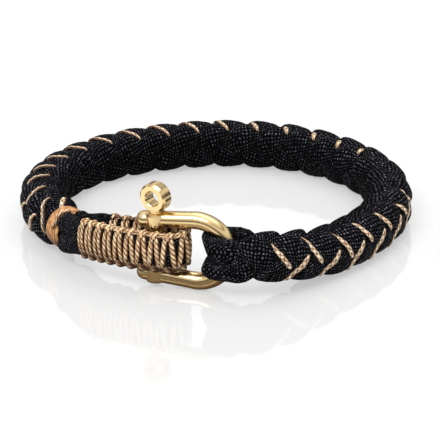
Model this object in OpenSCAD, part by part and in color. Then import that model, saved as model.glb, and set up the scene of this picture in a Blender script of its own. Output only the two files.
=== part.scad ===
// Paracord bracelet, lying on its side.
// Two black cords fold round the bow of a screw-pin shackle and run on as a
// four-strand round braid. A whipping binds the braid to a doubled eye cord,
// whose gold hitched loop is held between the shackle's ears by the pin.

/* [Wrist ring] */
// Width of the ring, measured between the braid's centre lines
ring_width = 78.8; // [68:0.2:100]
// Depth of the ring, measured between the braid's centre lines
ring_depth = 72.4; // [60:0.2:90]
// Length over which each end of the braid rises to the shackle's height
rise_length = 30; // [15:1:45]

/* [Braid] */
// Mean distance of a strand from the middle of the braid
braid_radius = 2.62; // [2.4:0.02:3]
// How far a strand rises as it passes over and dips as it passes under
braid_wave = 1.6; // [1:0.05:1.8]
// Length of braid in which a strand goes once round
braid_lead = 14.7; // [12:0.1:20]
// How far a strand lags round the braid where it lies on top, in degrees
braid_lag = 19; // [0:1:24]
// Width of a strand where it lies on top
strand_top_width = 5; // [3.6:0.1:5.6]
// Width of a strand where it lies underneath
strand_under_width = 2.1; // [1.8:0.1:4]
// Thickness of a strand where it lies on top
strand_top_depth = 3; // [2:0.1:3.4]
// Thickness of a strand where it lies underneath
strand_under_depth = 1.9; // [1.4:0.1:2.6]
// Height of a cord where it folds round the bow
fold_height = 4.7; // [3.6:0.1:5.2]
// Thickness of a cord where it folds round the bow
fold_depth = 3.1; // [2:0.1:3.6]
// Clearance between cords and the pieces that they touch
cord_gap = 0.15; // [0.05:0.05:0.4]

/* [Shackle] */
// Diameter of the shackle's bar
bar_d = 3.8; // [2.6:0.1:4.4]
// Distance from the pin's axis to the middle of the bow's bar
pin_to_bow = 16.3; // [14:0.1:22]
// Distance between the legs' centre lines at the pin
jaw_pitch = 12.8; // [11.6:0.1:16]
// Distance between the legs' centre lines where the bow starts
bow_pitch = 14.3; // [13:0.1:18]
// How far an ear reaches past the pin's axis, to its rounded end
ear_reach = 4.4; // [3.5:0.1:7]
// Width of an ear, seen from above
ear_width = 4.7; // [4.6:0.1:7]

/* [Screw pin] */
// Diameter of the pin's shank
shank_d = 3; // [2:0.1:3.6]
// Diametral clearance of the shank in the ears
shank_play = 0.1; // [0.04:0.02:0.2]
// Outer diameter of the ring head
head_d = 6.6; // [6:0.1:10]
// Diameter of the hole through the ring head
head_hole_d = 3.3; // [2:0.1:4]
// Thickness of the ring head
head_depth = 3.2; // [3.2:0.1:5]
// Chamfer on the head's outer edges
head_chamfer = 0.45; // [0.1:0.05:0.8]
// Turn of the head about the pin, in degrees
head_turn = -33; // [-90:1:90]

/* [Eye] */
// Length of the hitched part of the eye's front leg, up to the pin's axis
hitched_front = 15.4; // [10:0.2:18]
// Length of the hitched part of the eye's back leg, up to the pin's axis
hitched_back = 13.2; // [8:0.2:18]
// How much lower the back leg lies than the front one, half way to the whipping
back_sag = 1; // [0:0.1:1.2]
// How far the middle of the eye's end turn lies past the pin's axis
eye_reach = 3.1; // [1:0.1:4]
// Clearance between the pin and each side of the slot
slot_gap = 0.3; // [0.15:0.05:0.8]
// Height of the hitched band
band_height = 8.7; // [7:0.1:9.6]
// Thickness of the hitched band
band_depth = 2.9; // [2.4:0.1:3.6]
// Thickness of the hitching cord where it wraps the eye cord
hitch_depth = 0.7; // [0.4:0.05:1]
// Distance between two hitches along the band
hitch_pitch = 2.5; // [1.8:0.1:4]
// How far each hitch's knot stands proud of the band
hitch_relief = 0.3; // [0:0.05:0.5]

/* [Whipping] */
// Length of the whipping along the braid
whipping_length = 4; // [2.4:0.1:8]
// Thickness of the wound thread
whipping_depth = 0.6; // [0.5:0.05:1.4]
// Radius that the braid is squeezed to inside the whipping
whipping_bore = 3.9; // [3.7:0.05:5]

/* [Hidden] */

black_cord = "#17171b";
gold_cord = "#b98f58";
gold_thread = "#c08a4e";
gold_metal = "#e2c886";

// Plan of the ring: its reach at every 15 degrees of turn, counter-clockwise
// from the right, as a share of half the width and half the depth
plan_step = 15;
plan_reach = [
    0.992, 1.018, 1.032, 1.034, 1.029, 1.016,
    1.000, 0.987, 0.991, 1.005, 1.020, 1.018,
    0.995, 0.968, 0.952, 0.964, 0.941, 0.934,
    0.977, 1.022, 0.971, 0.933, 0.935, 0.961
];
bow_turn = 274;       // where the bow's bar stands on the plan
whipping_turn = 208.8;  // where the middle of the whipping lies on the plan

// How far the braid's pattern has slid along it, as a share of the lead, at
// equal steps from the bow to the whipping
pattern_slide = [0, 0, 0, 0.03, 0.13, 0.17, 0.2, 0.23, 0.23, 0.07, 0.05];

strand_sides = 7;
rings_per_lead = 12;
fold_rings = 7;
route_steps = 240;
smooth = 48;

braid_outer = braid_radius + braid_wave + strand_top_depth / 2;
// The strands that lie on top stand askew, at 45 degrees to the floor
askew_reach = braid_radius + braid_wave + norm([strand_top_width, strand_top_depth]) / 2;
floor_clearance = 0.04;
braid_rest = askew_reach * sin(45) + floor_clearance;
leg_rise = jaw_pitch / 2;
bow_rise = bow_pitch / 2;
bow_swell = 0.04;     // the bow's bar is this much fuller all round than the legs'
bow_height = bow_rise + bar_d / 2 + bow_swell;
shank_r = shank_d / 2;
bore_r = shank_r + shank_play / 2;

function smoothstep(v) = let (c = min(max(v, 0), 1)) c * c * (3 - 2 * c);
function mix(a, b, w) = a * (1 - w) + b * w;
function unit(v) = v / norm(v);

// Catmull-Rom interpolation round the closed table of reaches
function plan_share(turn) =
    let (
        n = len(plan_reach),
        t = turn / plan_step,
        i = floor(t),
        f = t - i,
        a = plan_reach[(i - 1 + 2 * n) % n],
        b = plan_reach[(i + 2 * n) % n],
        c = plan_reach[(i + 1 + 2 * n) % n],
        d = plan_reach[(i + 2 + 2 * n) % n]
    )
    0.5 * (2 * b + (c - a) * f + (2 * a - 5 * b + 4 * c - d) * f * f
        + (3 * b - a - 3 * c + d) * f * f * f);
function plan_point(turn) =
    plan_share(turn) * [ring_width / 2 * cos(turn), ring_depth / 2 * sin(turn)];

// The route starts at the bow's bar, goes right, round the back and to the
// left, and comes home through the eye. It is looked up by length.
route_turns = [for (i = [0:route_steps]) bow_turn + 360 * i / route_steps];
route_points = [for (turn = route_turns) plan_point(turn)];
route_lengths = [
    for (
        i = 0, run = 0;
        i <= route_steps;
        run = run + (i < route_steps ? norm(route_points[i + 1] - route_points[i]) : 0), i = i + 1
    ) run
];
route_x = [for (i = [0:route_steps]) [route_lengths[i], route_points[i].x]];
route_y = [for (i = [0:route_steps]) [route_lengths[i], route_points[i].y]];
route_total = route_lengths[route_steps];
turn_to_run = [for (i = [0:route_steps]) [route_turns[i], route_lengths[i]]];

function route_at(s) = [lookup(s, route_x), lookup(s, route_y)];
heading_step = 1.2;
function ahead(s) =
    let (a = min(s + heading_step, route_total), b = max(s - heading_step, 0))
    unit(route_at(a) - route_at(b));
function outward(s) = let (d = ahead(s)) [d.y, -d.x];

// The shackle stands on its bow, with its axis from the pin to the bow
bow_point = route_at(0);
shackle_axis = unit(bow_point - route_at(route_total - pin_to_bow));
pin_point = bow_point - pin_to_bow * shackle_axis;
shackle_turn = atan2(shackle_axis.y, shackle_axis.x);

whipping_run = lookup(whipping_turn + 360, turn_to_run);
pin_run = route_total - pin_to_bow;
eye_tuck = 0.9;  // how far past the whipping's middle the eye's cord starts
eye_start = whipping_run + eye_tuck;
eye_end = pin_run + eye_reach;

// Height of the braid's and the eye's centre line
whipping_lift = 0.4;
eye_rise = 12;
function height_at(s) =
    let (
        climb = bow_height - braid_rest,
        first = smoothstep(1 - s / rise_length),
        last = s < whipping_run
            ? whipping_lift * smoothstep(1 - (whipping_run - s) / rise_length)
            : mix(whipping_lift, 1, smoothstep((s - whipping_run) / eye_rise))
    )
    braid_rest + climb * max(first, last);

// Place of a point beside the route: a outwards, b upwards
function beside(s, a, b) =
    let (p = route_at(s) + a * outward(s)) [p.x, p.y, height_at(s) + b];
function aside(s, angle) =
    let (o = outward(s)) [cos(angle) * o.x, cos(angle) * o.y, sin(angle)];

// One braided strand. hand is -1 or 1, the way it turns; start is its angle
// round the braid at the bow; over is the angle where it lies on top.
braid_tuck = 1.2;  // how far short of the whipping's middle the strands end
braid_end = whipping_run - braid_tuck;
over_falling = 45;
over_rising = 135;
function lagged(angle, over) = angle - braid_lag * sin(2 * (angle - over));
slide_at_run = [
    for (i = [0:len(pattern_slide) - 1])
        [whipping_run * i / (len(pattern_slide) - 1), pattern_slide[i]]
];
function strand_angle(s, hand, start) =
    let (turn = 360 * (s / braid_lead - lookup(s, slide_at_run)))
    hand < 0
        ? lagged(start - turn, over_falling)
        : lagged(start + max(turn, 90), over_rising);
function over_share(angle, hand) =
    0.5 + 0.5 * cos(2 * (angle - (hand < 0 ? over_falling : over_rising)));

fold_side = bar_d / 2 + cord_gap + fold_depth / 2;
fold_level = fold_height / 2 + cord_gap / 2;
// At a fold's level the round bow leans towards the pin and lies nearer to it
bow_inside = bow_rise - bar_d / 2;
fold_lean = asin(fold_level / bow_inside);
fold_back = bow_inside * (1 - cos(fold_lean));
fold_clearance = 0.46;
neck_length = 4.6;
squeeze_length = 5;

// The squeeze that takes the braid into the whipping
squeezed = (whipping_bore - cord_gap) / braid_outer;
function squeeze(s) =
    mix(1, squeezed, smoothstep(1 - (whipping_run - whipping_length / 2 - s) / squeeze_length));

// A row of the strand's sweep: [place, facing, half width, half depth]
function strand_row(s, hand, start, side, level) =
    let (
        angle = strand_angle(s, hand, start),
        over = over_share(angle, hand),
        r = braid_radius + braid_wave * (2 * over - 1),
        w = smoothstep(s / neck_length),
        q = squeeze(s),
        a = mix(side * fold_side, r * cos(angle), w) * q,
        b = mix(level * fold_level, r * sin(angle), w) * q,
        facing = aside(s, mix(side > 0 ? 0 : 180, nearest(angle, side > 0 ? 0 : 180), w)),
        width = mix(fold_height, mix(strand_under_width, strand_top_width, over), w) * q,
        depth = mix(fold_depth, mix(strand_under_depth, strand_top_depth, over), w) * q
    )
    [beside(s, a, b), facing, width / 2, depth / 2];
// The same angle, brought within half a turn of a reference
function nearest(angle, to) = angle - 360 * round((angle - to) / 360);

strand_rings = ceil(rings_per_lead * braid_end / braid_lead);
strand_runs = [for (i = [0:strand_rings]) braid_end * i / strand_rings];

// Rows of a whole cord: back half, fold round the bow, front half
function cord_rows(back_hand, back_start, front_hand, front_start, level) =
    let (
        n = strand_rings,
        back = [for (i = [n:-1:0]) strand_row(strand_runs[i], back_hand, back_start, -1, level)],
        front = [for (i = [0:n]) strand_row(strand_runs[i], front_hand, front_start, 1, level)],
        o = [outward(0).x, outward(0).y, 0],
        back_way = [shackle_axis.x, shackle_axis.y, 0],
        middle = beside(0, 0, level * fold_level) - (fold_back + fold_clearance) * back_way,
        fold = [
            for (i = [1:fold_rings - 1])
                let (
                    angle = 180 * i / fold_rings,
                    out = unit(-cos(angle) * o - sin(angle) * back_way),
                    lean = -level * tan(fold_lean) * sin(angle)
                )
                [middle + fold_side * out, out + [0, 0, lean], fold_height / 2, fold_depth / 2]
        ]
    )
    concat(back, fold, front);

// Sweeps an oval through rows and closes both ends
module sweep(rows, sides) {
    n = len(rows);
    points = [
        for (i = [0:n - 1])
            let (
                along = unit(rows[min(i + 1, n - 1)][0] - rows[max(i - 1, 0)][0]),
                raw = rows[i][1],
                face = unit(raw - (raw * along) * along),
                edge = cross(along, face)
            )
            for (j = [0:sides - 1])
                let (k = 360 * (j + 0.5) / sides)
                rows[i][0] + rows[i][3] * cos(k) * face + rows[i][2] * sin(k) * edge
    ];
    walls = [
        for (i = [0:n - 2], j = [0:sides - 1])
            let (
                p = i * sides + j,
                q = i * sides + (j + 1) % sides
            )
            each [[p, q + sides, q], [p, p + sides, q + sides]]
    ];
    first = [for (j = [0:sides - 1]) j];
    last = [for (j = [sides - 1:-1:0]) (n - 1) * sides + j];
    polyhedron(points, concat([first], walls, [last]), convexity = 20);
}

// Angles round the braid at which the halves of each cord start
upper_start = 45;
lower_start = upper_start + 180;

module upper_cord() {
    color(black_cord) sweep(cord_rows(1, upper_start, -1, upper_start, 1), strand_sides);
}

module lower_cord() {
    color(black_cord) sweep(cord_rows(-1, lower_start, 1, lower_start, -1), strand_sides);
}

// The eye: two legs beside the pin's slot, joined by a turn past the pin
leg_side = shank_r + slot_gap + band_depth / 2;
leg_side_bound = 1.35;
leg_hold = 1.2;      // length over which the legs still run side by side
leg_spread = 9;
sag_in = 4;          // length over which the back leg's sag grows
sag_out = 10;        // length over which it fades again
sag_short = 1.5;     // how far short of the pin it has faded
bare_height = 8.6;
bare_depth = 2.1;
bound_height = 1.5 * whipping_bore;
core_depth = band_depth - 2 * hitch_depth - 2 * cord_gap;
core_height = band_height - 2 * hitch_depth - 2 * cord_gap;
bare_hold = 1;       // length over which the cord keeps its bound size
bare_run = 2.4;      // length over which it swells to its bare size
cover_lead = 2.8;    // how far before the hitching it starts to take the hitched size
cover_run = 2;       // length over which it takes that size
eye_sides = 8;
turn_rings = 8;

// The legs spread from the whipping to either side of the slot, and the
// back leg sags between them
function leg_place(s) = mix(leg_side_bound, leg_side, smoothstep((s - eye_start - leg_hold) / leg_spread));
function leg_level(s, side) =
    side > 0 ? 0
        : -back_sag * smoothstep((s - eye_start) / sag_in) * smoothstep((pin_run - sag_short - s) / sag_out);
function leg_middle(s, side) = beside(s, side * leg_place(s), leg_level(s, side));
// Rows of a band along one leg, from run a to run b
function leg_rows(side, a, b, n, height, depth, growth) =
    [
        for (i = [0:n])
            let (s = mix(a, b, i / n), g = growth(s))
            [leg_middle(s, side), side * aside(s, 0), mix(g[0], height, g[2]) / 2, mix(g[1], depth, g[2]) / 2]
    ];
function reversed(rows) = [for (i = [len(rows) - 1:-1:0]) rows[i]];
function turn_rows(height, depth, count, relief) =
    let (d = ahead(eye_end), o = outward(eye_end))
    [
        for (i = [1:count - 1])
            let (
                angle = 180 * i / count,
                out = cos(angle) * [o.x, o.y, 0] + sin(angle) * [d.x, d.y, 0]
            )
            [beside(eye_end, 0, 0) + leg_side * out, out, height / 2 + (i % 2) * relief, depth / 2]
    ];

// How the bare cord narrows into the hitching and into the whipping:
// [height there, depth there, share of the hitched size]
function bare_growth(s, covered) =
    let (
        out = smoothstep((s - eye_start - bare_hold) / bare_run),
        in = smoothstep((s - covered + cover_lead) / cover_run)
    )
    [mix(bound_height, bare_height, out), bare_depth, in];

function core_leg(side, covered) =
    leg_rows(side, eye_start, eye_end, 12, core_height, core_depth, function (s) bare_growth(s, covered));

module eye_cord() {
    front = core_leg(1, pin_run - hitched_front);
    back = core_leg(-1, pin_run - hitched_back);
    color(black_cord)
        sweep(concat(front, turn_rows(core_height, core_depth, turn_rings, 0), reversed(back)), eye_sides);
}

// Rows of the hitched band over one leg, with a knot at every pitch
function band_leg(side, length, margin, proud) =
    let (
        start = pin_run - length - margin,
        n = 2 * ceil((eye_end - start) / hitch_pitch)
    )
    [
        for (i = [0:n])
            let (s = mix(start, eye_end, i / n))
            [leg_middle(s, side), side * aside(s, 0),
                band_height / 2 - proud + (proud > 0 ? 0 : (i % 2) * hitch_relief),
                band_depth / 2 - proud]
    ];
function band_rows(margin, cut) =
    concat(
        band_leg(1, hitched_front, margin, cut),
        turn_rows(band_height - 2 * cut, band_depth - 2 * cut, turn_rings, cut > 0 ? 0 : hitch_relief),
        reversed(band_leg(-1, hitched_back, margin, cut))
    );

hitch_margin = 0.5;  // how far the space inside the hitching runs on past its ends

module eye_hitching() {
    color(gold_cord)
        difference() {
            sweep(band_rows(0, 0), eye_sides);
            sweep(band_rows(hitch_margin, hitch_depth), eye_sides);
        }
}

module whipping() {
    p = beside(whipping_run, 0, 0);
    d = ahead(whipping_run);
    r = whipping_bore + whipping_depth;
    half = whipping_length / 2;
    soft = whipping_depth * 0.45;
    color(gold_thread)
        translate(p)
            rotate([0, 90, atan2(d.y, d.x)])
                rotate_extrude($fn = smooth)
                    polygon([
                        [whipping_bore, -half], [r - soft, -half], [r, -half + soft],
                        [r, half - soft], [r - soft, half], [whipping_bore, half]
                    ]);
}

// The shackle in its own frame: pin along Z, bow towards +X
bow_start = pin_to_bow - bow_rise;
// The legs lean towards each other and run on from the bow without a bend:
// from the pin, a leg's line touches the bow's circle
leg_lean = asin(bow_rise / norm([bow_start, leg_rise])) - atan2(leg_rise, bow_start);
leg_run = sqrt(bow_start * bow_start + leg_rise * leg_rise - bow_rise * bow_rise);
ear_tip = ear_reach - bar_d / 2;
leg_root = 0.3;  // how far a leg runs on inside the bow
end_steps = 6;
end_turn = 80;   // how far a leg's end is rounded over before its small flat
ear_corner = 0.8 * (ear_width / 2 - bore_r);
boss_inset = 0.1;    // how far the boss's faces lie inside the leg's

// One leg with its round end, from the bow's last disc to past the ear
module shackle_leg(up) {
    run = leg_run + ear_tip / cos(leg_lean);
    r = bar_d / 2;
    translate(bow_rise * [-sin(leg_lean), 0, up * cos(leg_lean)] + [bow_start, 0, 0])
        rotate([0, -90 - up * leg_lean, 0])
            rotate_extrude($fn = smooth)
                polygon(concat(
                    [[0, -leg_root], [r, -leg_root]],
                    [
                        for (i = [0:end_steps])
                            let (a = end_turn * i / end_steps)
                            [r * cos(a), run + r * sin(a)]
                    ],
                    [[0, run + r * sin(end_turn)]]
                ));
}

// The ear's round boss, which the pin passes through
module ear_boss(up) {
    r = ear_width / 2;
    half = bar_d / 2 - boss_inset;
    translate([0, 0, up * leg_rise])
        rotate_extrude($fn = smooth)
            polygon([
                [0, -half], [r - ear_corner, -half], [r - ear_corner * 0.3, -half + ear_corner * 0.3],
                [r, -half + ear_corner], [r, half - ear_corner],
                [r - ear_corner * 0.3, half - ear_corner * 0.3], [r - ear_corner, half], [0, half]
            ]);
}

module in_shackle() {
    translate([pin_point.x, pin_point.y, bow_height])
        rotate([0, 0, shackle_turn])
            children();
}

module shackle() {
    color(gold_metal)
        in_shackle()
            difference() {
                union() {
                    for (up = [-1, 1]) {
                        shackle_leg(up);
                        ear_boss(up);
                    }
                    translate([bow_start, 0, 0])
                        rotate([90, 0, 0])
                            rotate([0, 0, -90 - leg_lean])
                                rotate_extrude(angle = 180 + 2 * leg_lean, $fn = 96)
                                    translate([bow_rise, 0])
                                        circle(d = bar_d + 2 * bow_swell, $fn = smooth);
                }
                translate([0, 0, -bow_height])
                    cylinder(h = 2 * bow_height, r = bore_r, $fn = smooth);
            }
}

// The pin: a plain shank under a ring head that bears on the upper ear
head_gap = 0.05;     // clearance between the head and the upper ear
shank_short = 0.3;   // how far the shank ends short of the lower ear's underside
head_root = 0.6;     // how far below the head's hole the shank ends
hole_chamfer = 0.2;
head_seat = leg_rise + bar_d / 2 + head_gap;
shank_bottom = -(leg_rise + bar_d / 2) + shank_short;

module shackle_pin() {
    r = head_d / 2;
    hole = head_hole_d / 2;
    half = head_depth / 2;
    head_centre = head_seat + r;
    color(gold_metal)
        in_shackle() {
            translate([0, 0, shank_bottom])
                cylinder(h = head_centre - hole - head_root - shank_bottom, r = shank_r, $fn = smooth);
            translate([0, 0, head_centre])
                rotate([0, 0, head_turn - shackle_turn])
                    rotate([90, 0, 0])
                        rotate_extrude($fn = smooth)
                            polygon([
                                [hole, -half + hole_chamfer], [hole + hole_chamfer, -half],
                                [r - head_chamfer, -half], [r, -half + head_chamfer],
                                [r, half - head_chamfer], [r - head_chamfer, half],
                                [hole + hole_chamfer, half], [hole, half - hole_chamfer]
                            ]);
        }
}

upper_cord();
lower_cord();
eye_cord();
eye_hitching();
whipping();
shackle();
shackle_pin();
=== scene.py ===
"""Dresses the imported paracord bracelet.

The braided cords, the accent cord along their edges, the hitched eye and the
whipping are modelled here. The shackle and its pin keep their CAD shapes and
get a polished brass finish. Sizes are in millimetres until a mesh is written.
"""

import logging
import math
from dataclasses import dataclass
from enum import Enum
from typing import Sequence, Union

import bmesh
import bpy
import numpy as np
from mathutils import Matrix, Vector
from mathutils.bvhtree import BVHTree

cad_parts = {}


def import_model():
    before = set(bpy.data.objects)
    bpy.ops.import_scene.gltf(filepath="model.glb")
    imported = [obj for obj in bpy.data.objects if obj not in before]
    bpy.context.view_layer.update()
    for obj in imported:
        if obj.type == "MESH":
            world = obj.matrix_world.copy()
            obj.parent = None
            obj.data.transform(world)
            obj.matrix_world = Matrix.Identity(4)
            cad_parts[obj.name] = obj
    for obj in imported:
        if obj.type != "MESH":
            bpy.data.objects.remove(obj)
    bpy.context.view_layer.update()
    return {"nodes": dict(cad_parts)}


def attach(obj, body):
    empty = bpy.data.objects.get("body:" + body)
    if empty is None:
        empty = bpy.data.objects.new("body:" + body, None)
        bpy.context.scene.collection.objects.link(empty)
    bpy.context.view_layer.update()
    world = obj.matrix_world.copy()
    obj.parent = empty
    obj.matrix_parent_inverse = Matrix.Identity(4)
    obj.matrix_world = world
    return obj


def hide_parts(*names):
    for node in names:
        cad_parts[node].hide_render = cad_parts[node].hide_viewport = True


Pair = tuple[float, float]
Triple = tuple[float, float, float]
Number = Union[float, np.ndarray]
Socket = bpy.types.NodeSocket
Value = Union[Socket, float, Sequence[float]]

MM = 0.001  # metres in a millimetre
BODY = "bracelet"  # the CAD body that every new piece rides on
UP = np.array([0.0, 0.0, 1.0])
REST = 0.02  # lowest point of a cord that lies on the floor
PROBE = 12.0  # how far out a ray starts that looks for a surface
WELD = 1e-8  # metres within which a swept cord's corners are one
NOISE_SPAN = (0.3, 0.7)  # where nearly all values of a noise lie
log = logging.getLogger("bracelet")


def unit(v: np.ndarray) -> np.ndarray:
    """Returns v at length one."""
    return v / np.linalg.norm(v)


def smoothstep(v: float) -> float:
    """Returns the smooth ramp from 0 at 0 to 1 at 1."""
    c = min(max(v, 0.0), 1.0)
    return c * c * (3.0 - 2.0 * c)


def hump(w: float) -> float:
    """Returns the half wave that is 0 at w 0 and w 1, and 1 half way."""
    return math.sin(math.pi * w)


def mix(a: Number, b: Number, w: float) -> Number:
    """Returns a at w 0, b at w 1 and the blend between them."""
    return a * (1.0 - w) + b * w


def nearest_turn(angle: float, to: float) -> float:
    """Returns the same angle in degrees, brought within half a turn of another."""
    return angle - 360.0 * round((angle - to) / 360.0)


def running_lengths(points: np.ndarray) -> np.ndarray:
    """Returns the length from the first point of a chain to each of its points."""
    runs = np.linalg.norm(np.diff(points, axis=0), axis=1)
    return np.concatenate([[0.0], np.cumsum(runs)])


def value_at(rows: np.ndarray, lengths: np.ndarray, s: float) -> np.ndarray:
    """Returns the row of values at a length along a chain."""
    return np.array([np.interp(s, lengths, column) for column in rows.T])


@dataclass(frozen=True)
class Section:
    """One cross-section of a swept cord: its middle, the way its depth points, its half sizes.

    A fullness of 2 gives an oval, and more a boxier shape.
    """

    place: np.ndarray
    facing: np.ndarray
    half_width: float
    half_depth: float
    fullness: float = 2.0


@dataclass
class Route:
    """The centre line of the bracelet, looked up by length from the shackle's bow.

    In plan it is an oval whose radius is scaled by the shares in reach, one every 15 degrees.
    """

    width: float = 78.8
    depth: float = 72.4
    reach: tuple[float, ...] = (
        0.992, 1.018, 1.032, 1.034, 1.029, 1.016, 1.000, 0.987,
        0.991, 1.005, 1.020, 1.018, 0.995, 0.968, 0.952, 0.964,
        0.941, 0.934, 0.977, 1.022, 0.971, 0.933, 0.935, 0.961,
    )
    bow_turn: float = 274.0
    whipping_turn: float = 208.8
    pin_to_bow: float = 16.3
    bow_height: float = 9.09
    braid_rest: float = 5.0855
    rise_length: float = 30.0
    whipping_lift: float = 0.4
    eye_rise: float = 12.0
    steps: int = 240
    heading_step: float = 1.2

    def __post_init__(self) -> None:
        """Works out the points of the route and the lengths along it."""
        turns = self.bow_turn + 360.0 * np.arange(self.steps + 1) / self.steps
        self.points = np.array([self._plan(t) for t in turns])
        self.lengths = running_lengths(self.points)
        self.total = float(self.lengths[-1])
        self.whipping = float(np.interp(self.whipping_turn + 360.0, turns, self.lengths))
        self.pin = self.total - self.pin_to_bow

    def _plan(self, turn: float) -> np.ndarray:
        """Finds a point of the plan, by a Catmull-Rom curve through the shares.

        Args:
            turn: Angle round the ring's middle in degrees.

        Returns:
            The point's two level coordinates.
        """
        n = len(self.reach)
        t = turn / (360.0 / n)
        i = math.floor(t)
        f = t - i
        a, b, c, d = (self.reach[(i + k) % n] for k in (-1, 0, 1, 2))
        bend = (2 * a - 5 * b + 4 * c - d) * f * f
        share = 0.5 * (2 * b + (c - a) * f + bend + (3 * b - a - 3 * c + d) * f**3)
        angle = math.radians(turn)
        oval = [self.width / 2 * math.cos(angle), self.depth / 2 * math.sin(angle)]
        return share * np.array(oval)

    def at(self, s: float) -> np.ndarray:
        """Returns the plan's point at a length from the bow."""
        return value_at(self.points, self.lengths, s)

    def ahead(self, s: float) -> np.ndarray:
        """Finds the way the route runs.

        Args:
            s: Length from the bow.

        Returns:
            A level unit vector.
        """
        a = self.at(min(s + self.heading_step, self.total))
        b = self.at(max(s - self.heading_step, 0.0))
        d = unit(a - b)
        return np.array([d[0], d[1], 0.0])

    def outward(self, s: float) -> np.ndarray:
        """Returns the level unit vector that points out of the ring."""
        d = self.ahead(s)
        return np.array([d[1], -d[0], 0.0])

    def height(self, s: float) -> float:
        """Finds the centre line's height: low along the braid, at mid shackle by the bow.

        Args:
            s: Length from the bow.

        Returns:
            The height over the floor.
        """
        first = smoothstep(1 - s / self.rise_length)
        if s < self.whipping:
            near = smoothstep(1 - (self.whipping - s) / self.rise_length)
            last = self.whipping_lift * near
        else:
            near = smoothstep((s - self.whipping) / self.eye_rise)
            last = mix(self.whipping_lift, 1.0, near)
        return self.braid_rest + (self.bow_height - self.braid_rest) * max(first, last)

    def beside(self, s: float, out: float, up: float) -> np.ndarray:
        """Returns the point beside the centre line, out of the ring and upwards."""
        p = self.at(s)
        return np.array([p[0], p[1], self.height(s) + up]) + out * self.outward(s)

    def aside(self, s: float, angle: float) -> np.ndarray:
        """Returns the unit vector round the centre line: 0 outwards and 90 upwards."""
        a = math.radians(angle)
        return math.cos(a) * self.outward(s) + math.sin(a) * UP

    def shackle_axis(self) -> np.ndarray:
        """Returns the level unit vector from the pin to the bow."""
        d = unit(self.at(0.0) - self.at(self.pin))
        return np.array([d[0], d[1], 0.0])

    def surface(self, s: float, angle: float, trees: Sequence[BVHTree], missed: float) -> float:
        """Finds how far the outermost surface lies from the centre line.

        Args:
            s: Length from the bow.
            angle: Angle round the centre line, as in aside.
            trees: Search trees of what may lie there.
            missed: The answer where nothing does.

        Returns:
            The distance from the centre line.
        """
        way = self.aside(s, angle)
        far = self.beside(s, 0.0, 0.0) + PROBE * way
        hits = [tree.ray_cast(Vector(far) * MM, Vector(-way)) for tree in trees]
        near = [hit[3] / MM for hit in hits if hit[0] is not None]
        return PROBE - min(near) if near else missed


class Weave(Enum):
    """The surface that a cord's material shows."""

    PLAITED = "plaited sheath"
    LAID = "laid yarns"
    WOUND = "wound thread"


class Graph:
    """A small builder for the nodes of one shader tree."""

    def __init__(self, tree: bpy.types.NodeTree) -> None:
        """Keeps the tree that nodes are added to."""
        self.tree = tree

    def node(self, kind: str, **settings: object) -> bpy.types.Node:
        """Adds a node.

        Args:
            kind: The node's type name.
            **settings: Properties to set on it.

        Returns:
            The new node.
        """
        made = self.tree.nodes.new(kind)
        for key, value in settings.items():
            setattr(made, key, value)
        return made

    def feed(self, socket: Socket, value: Value) -> None:
        """Links a socket to another one, or sets its default.

        Args:
            socket: The input socket.
            value: An output socket, a number, a vector or a colour's three parts.
        """
        if isinstance(value, Socket):
            self.tree.links.new(value, socket)
        elif socket.type == "RGBA":
            socket.default_value = (*value, 1.0)
        else:
            socket.default_value = value

    def math(self, operation: str, *values: Value) -> Socket:
        """Adds a Math node.

        Args:
            operation: The node's operation, such as ADD.
            *values: Sockets or numbers for its inputs.

        Returns:
            Its output socket.
        """
        made = self.node("ShaderNodeMath", operation=operation)
        for socket, value in zip(made.inputs, values):
            self.feed(socket, value)
        return made.outputs[0]

    def vector(self, operation: str, *values: Value) -> Sequence[Socket]:
        """Adds a Vector Math node.

        Args:
            operation: The node's operation, such as LENGTH.
            *values: Sockets or vectors for its inputs.

        Returns:
            Its output sockets, Vector and Value.
        """
        made = self.node("ShaderNodeVectorMath", operation=operation)
        for socket, value in zip(made.inputs, values):
            self.feed(socket, value)
        return made.outputs

    def ramp(
        self, value: Value, low: float, high: float, to_low: Value = 0.0, to_high: Value = 1.0
    ) -> Socket:
        """Adds a smooth Map Range node.

        Args:
            value: The socket to map.
            low: The value that gives to_low.
            high: The value that gives to_high.
            to_low: The result at low and below.
            to_high: The result at high and above.

        Returns:
            Its output socket.
        """
        made = self.node("ShaderNodeMapRange", interpolation_type="SMOOTHSTEP")
        for socket, v in zip(made.inputs, (value, low, high, to_low, to_high)):
            self.feed(socket, v)
        return made.outputs[0]

    def blend(self, factor: Value, a: Value, b: Value) -> Socket:
        """Adds a colour Mix node.

        Args:
            factor: Share of b.
            a: First colour, or its socket.
            b: Second colour, or its socket.

        Returns:
            The mixed colour's socket.
        """
        made = self.node("ShaderNodeMix", data_type="RGBA")
        for index, value in ((0, factor), (6, a), (7, b)):
            self.feed(made.inputs[index], value)
        return made.outputs[2]

    def bump(self, shader: bpy.types.Node, height: Socket, strength: float, relief: float) -> None:
        """Adds a Bump node that feeds a shader's Normal.

        Args:
            shader: The shader.
            height: The height, mostly from 0 to 1.
            strength: The node's strength.
            relief: What a height of 1 stands for, in millimetres.
        """
        made = self.node("ShaderNodeBump")
        for label, value in (("Height", height), ("Strength", strength), ("Distance", relief * MM)):
            self.feed(made.inputs[label], value)
        self.feed(shader.inputs["Normal"], made.outputs[0])

    def place(self, group: bpy.types.NodeTree, **values: Value) -> Sequence[Socket]:
        """Places a node group.

        Args:
            group: The group's tree.
            **values: Sockets or numbers for its inputs, by name.

        Returns:
            The group node's output sockets.
        """
        made = self.node("ShaderNodeGroup", node_tree=group)
        for key, value in values.items():
            self.feed(made.inputs[key], value)
        return made.outputs


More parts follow.
